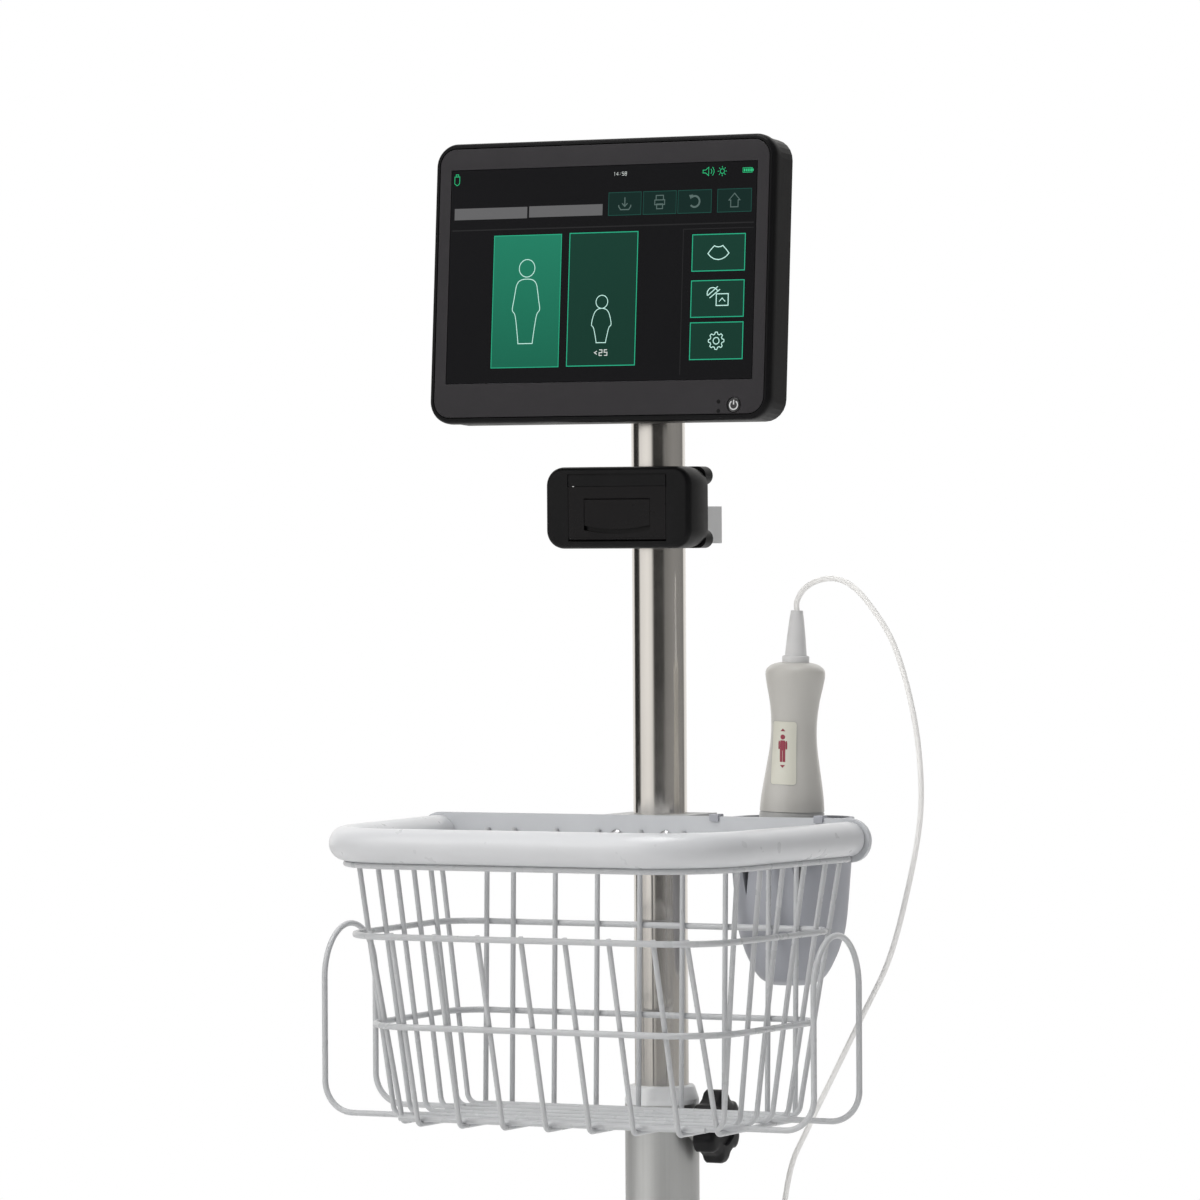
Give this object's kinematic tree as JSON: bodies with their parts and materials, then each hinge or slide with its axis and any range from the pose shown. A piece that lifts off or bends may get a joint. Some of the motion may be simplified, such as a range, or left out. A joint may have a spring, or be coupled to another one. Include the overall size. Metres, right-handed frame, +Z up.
{
  "type": "bladder scanner",
  "caption": "Ultrasound bladder scanner: touch-screen console, panel printer, wire basket and probe in a holder on a telescopic pole with a castor base.",
  "frame": {"origin": "on the floor, on the axis of the column", "axes": "+Z up, -Y towards the front of the console and basket, +X towards the probe"},
  "size_m": [0.6282, 0.5986, 1.2596],
  "materials": {
    "cast_grey": "satin powder coat on cast alloy",
    "satin_column": "satin, fine vertical grain",
    "pale_collar": "moulded, faint texture",
    "black_plastic": "moulded, fine texture",
    "polished_steel": "polished, soft warm reflections",
    "dark_nylon": "machined",
    "coated_wire": "light epoxy coat",
    "plate_grey": "satin coat",
    "bright_screw": "zinc plated",
    "holder_grey": "moulded, satin",
    "printer_black": "moulded, fine texture",
    "head_metal": "machined",
    "paper": "thermal paper",
    "platen_rubber": "ground rubber",
    "bracket_black": "satin coat",
    "bezel_plum": "moulded, satin",
    "cover_glass": "polished, dark behind",
    "panel_metal": "panel module",
    "board_green": "circuit board",
    "battery_blue": "shrink sleeve",
    "shell_black": "moulded, fine texture",
    "button_black": "moulded",
    "plug_grey": "moulded",
    "probe_warm": "satin gloss",
    "probe_cool": "satin gloss",
    "nose_grey": "acoustic lens",
    "label_cream": "printed film",
    "transducer_brass": "machined",
    "cable_white": "silicone jacket",
    "fork_black": "glass-filled nylon",
    "tread_grey": "non-marking tread",
    "pedal_dark": "moulded"
  },
  "bodies": {
    "base": {"star_base": "cast_grey", "outer_column": "satin_column", "column_collar": "pale_collar"},
    "knob": {"clamp_knob": "black_plastic"},
    "pole": {"inner_pole": "polished_steel", "pole_glide": "dark_nylon", "pole_head": "black_plastic", "tilt_pin": "bright_screw", "rim_tube": "coated_wire", "basket_rings": "coated_wire", "lengthwise_wires": "coated_wire", "crosswise_wires": "coated_wire", "cable_hooks": "coated_wire", "back_plate": "plate_grey", "basket_clamp_front": "plate_grey", "basket_clamp_rear": "plate_grey", "basket_screws": "bright_screw", "probe_holder": "holder_grey", "printer_clamp_front": "plate_grey", "printer_clamp_rear": "plate_grey", "clamp_screws": "bright_screw", "printer_back": "printer_black", "printer_housing": "printer_black", "print_head": "head_metal", "cable_riser": "cable_white"},
    "console": {"tilt_plate": "bracket_black", "front_bezel": "bezel_plum", "cover_glass": "cover_glass", "display_panel": "panel_metal", "main_board": "board_green", "battery_pack": "battery_blue", "rear_cover": "shell_black", "cover_screws": "bright_screw", "cable_plug": "plug_grey"},
    "power_button": {"power_button": "button_black"},
    "printer_door": {"printer_door": "printer_black"},
    "door_latch": {"door_latch": "printer_black"},
    "platen_roller": {"platen_roller": "platen_rubber"},
    "paper_roll": {"paper_roll": "paper"},
    "probe": {"probe_handle": "probe_warm", "probe_base": "probe_cool", "probe_nose": "nose_grey", "strain_relief": "probe_cool", "probe_label": "label_cream", "transducer": "transducer_brass", "cable_loop": "cable_white"},
    "castor_fork_1": {"castor_fork_1": "fork_black"},
    "castor_wheel_1": {"castor_wheel_1": "tread_grey"},
    "castor_fork_2": {"castor_fork_2": "fork_black"},
    "castor_wheel_2": {"castor_wheel_2": "tread_grey"},
    "castor_fork_3": {"castor_fork_3": "fork_black"},
    "castor_wheel_3": {"castor_wheel_3": "tread_grey"},
    "castor_fork_4": {"castor_fork_4": "fork_black"},
    "castor_wheel_4": {"castor_wheel_4": "tread_grey"},
    "castor_fork_5": {"castor_fork_5": "fork_black"},
    "castor_wheel_5": {"castor_wheel_5": "tread_grey"},
    "brake_pedal_1": {"brake_pedal_1": "pedal_dark"},
    "brake_pedal_2": {"brake_pedal_2": "pedal_dark"}
  },
  "joints": [
    {"name": "pole_slide", "type": "slide", "parent": "base", "child": "pole", "axis": [0, 0, 1], "range_m": [-0.06, 0.15]},
    {"name": "clamp_turn", "type": "hinge", "parent": "base", "child": "knob", "pos_m": [0.027, 0, 0.622], "axis": [1, 0, 0], "range_deg": [-180, 180]},
    {"name": "console_tilt", "type": "hinge", "parent": "pole", "child": "console", "pos_m": [0, -0.03, 1.15], "axis": [-1, 0, 0], "range_deg": [-10, 20]},
    {"name": "power_press", "type": "slide", "parent": "console", "child": "power_button", "axis": [0, 0.9973, -0.0732], "range_m": [0, 0.0008], "stiffness_N_per_m": 600, "springref_m": -0.002},
    {"name": "printer_door_hinge", "type": "hinge", "parent": "pole", "child": "printer_door", "pos_m": [0, -0.0575, 1.0045], "axis": [1, 0, 0], "range_deg": [0, 80]},
    {"name": "latch_pull", "type": "hinge", "parent": "printer_door", "child": "door_latch", "pos_m": [0, -0.0588, 1.028], "axis": [-1, 0, 0], "range_deg": [0, 35], "stiffness_Nm_per_rad": 0.01, "springref_deg": -11.46},
    {"name": "platen_spin", "type": "hinge", "parent": "printer_door", "child": "platen_roller", "pos_m": [0, -0.051, 1.032], "axis": [1, 0, 0], "continuous": true},
    {"name": "paper_spin", "type": "hinge", "parent": "pole", "child": "paper_roll", "pos_m": [0, -0.039, 1.0194], "axis": [1, 0, 0], "continuous": true},
    {"name": "probe_lift", "type": "slide", "parent": "pole", "child": "probe", "axis": [0.0332, 0, 0.9995], "range_m": [0, 0.13]},
    {"name": "castor_swivel_1", "type": "hinge", "parent": "base", "child": "castor_fork_1", "pos_m": [0, 0.265, 0.098], "axis": [0, 0, 1], "continuous": true},
    {"name": "wheel_roll_1", "type": "hinge", "parent": "castor_fork_1", "child": "castor_wheel_1", "pos_m": [0, 0.291, 0.0375], "axis": [-1, 0, 0], "continuous": true},
    {"name": "castor_swivel_2", "type": "hinge", "parent": "base", "child": "castor_fork_2", "pos_m": [-0.25203, 0.08189, 0.098], "axis": [0, 0, 1], "continuous": true},
    {"name": "wheel_roll_2", "type": "hinge", "parent": "castor_fork_2", "child": "castor_wheel_2", "pos_m": [-0.27676, 0.08992, 0.0375], "axis": [-0.309, -0.9511, 0], "continuous": true},
    {"name": "castor_swivel_3", "type": "hinge", "parent": "base", "child": "castor_fork_3", "pos_m": [-0.15576, -0.21439, 0.098], "axis": [0, 0, 1], "continuous": true},
    {"name": "wheel_roll_3", "type": "hinge", "parent": "castor_fork_3", "child": "castor_wheel_3", "pos_m": [-0.17105, -0.23542, 0.0375], "axis": [0.809, -0.5878, 0], "continuous": true},
    {"name": "castor_swivel_4", "type": "hinge", "parent": "base", "child": "castor_fork_4", "pos_m": [0.15576, -0.21439, 0.098], "axis": [0, 0, 1], "continuous": true},
    {"name": "wheel_roll_4", "type": "hinge", "parent": "castor_fork_4", "child": "castor_wheel_4", "pos_m": [0.17105, -0.23542, 0.0375], "axis": [0.809, 0.5878, 0], "continuous": true},
    {"name": "castor_swivel_5", "type": "hinge", "parent": "base", "child": "castor_fork_5", "pos_m": [0.25203, 0.08189, 0.098], "axis": [0, 0, 1], "continuous": true},
    {"name": "wheel_roll_5", "type": "hinge", "parent": "castor_fork_5", "child": "castor_wheel_5", "pos_m": [0.27676, 0.08992, 0.0375], "axis": [-0.309, 0.9511, 0], "continuous": true},
    {"name": "pedal_press_1", "type": "hinge", "parent": "castor_fork_3", "child": "brake_pedal_1", "pos_m": [-0.17163, -0.23623, 0.085], "axis": [0.809, -0.5878, 0], "range_deg": [0, 15]},
    {"name": "pedal_press_2", "type": "hinge", "parent": "castor_fork_4", "child": "brake_pedal_2", "pos_m": [0.17163, -0.23623, 0.085], "axis": [0.809, 0.5878, 0], "range_deg": [0, 15]}
  ]
}
